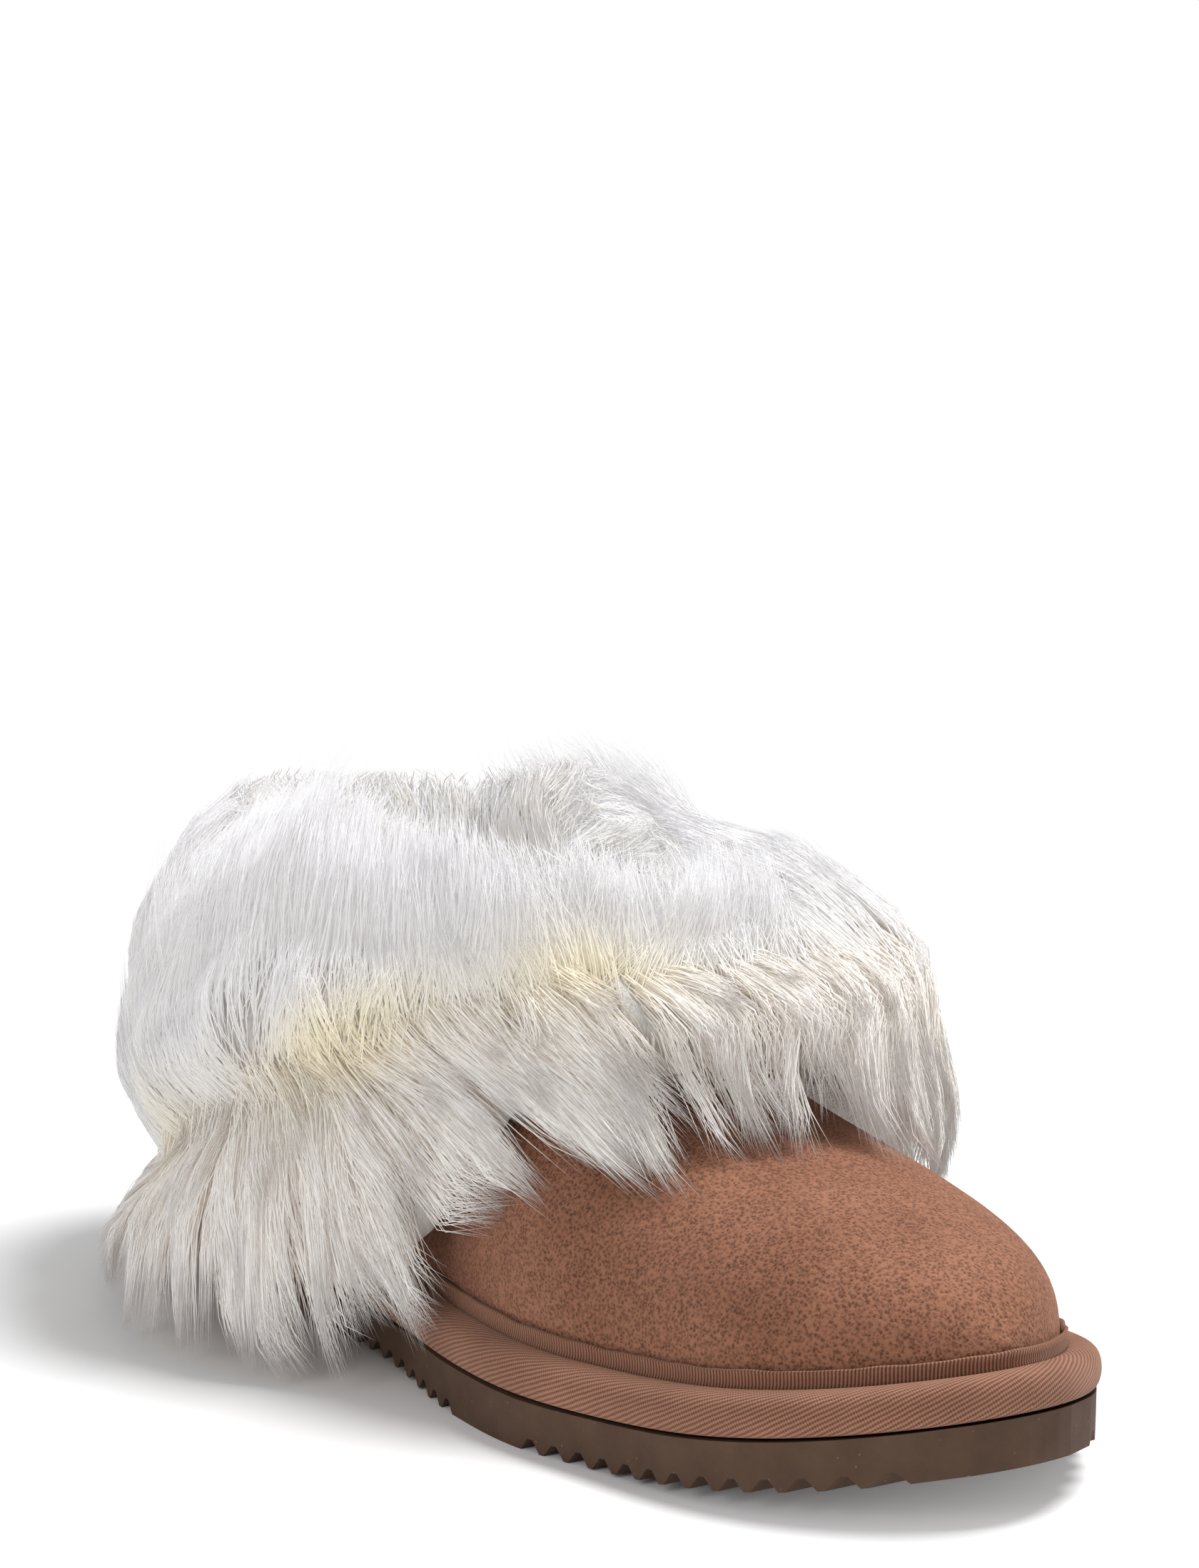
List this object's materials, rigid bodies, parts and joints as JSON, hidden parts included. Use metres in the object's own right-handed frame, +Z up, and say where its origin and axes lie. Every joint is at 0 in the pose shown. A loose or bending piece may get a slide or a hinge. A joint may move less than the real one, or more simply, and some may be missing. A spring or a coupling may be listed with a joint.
{
  "type": "shaggy slipper",
  "caption": "Right closed-heel slipper: suede upper on a taped welt and foam outsole, with a long-haired fur collar falling over the sides.",
  "frame": {"origin": "on the floor, in the middle of the heel's flat spot", "axes": "+X towards the toe, -Y towards the outer side of the right foot, +Z up"},
  "size_m": [0.2954, 0.1796, 0.1188],
  "materials": {
    "eva_foam": "matt moulded foam",
    "twill_tape": "woven twill",
    "footbed_pile": "short pile",
    "suede": "napped suede",
    "long_fur": "long soft hair in pointed locks"
  },
  "bodies": {
    "root": {"outsole": "eva_foam", "welt_tape": "twill_tape", "insole": "footbed_pile", "upper": "suede", "fur_collar": "long_fur"}
  },
  "joints": []
}
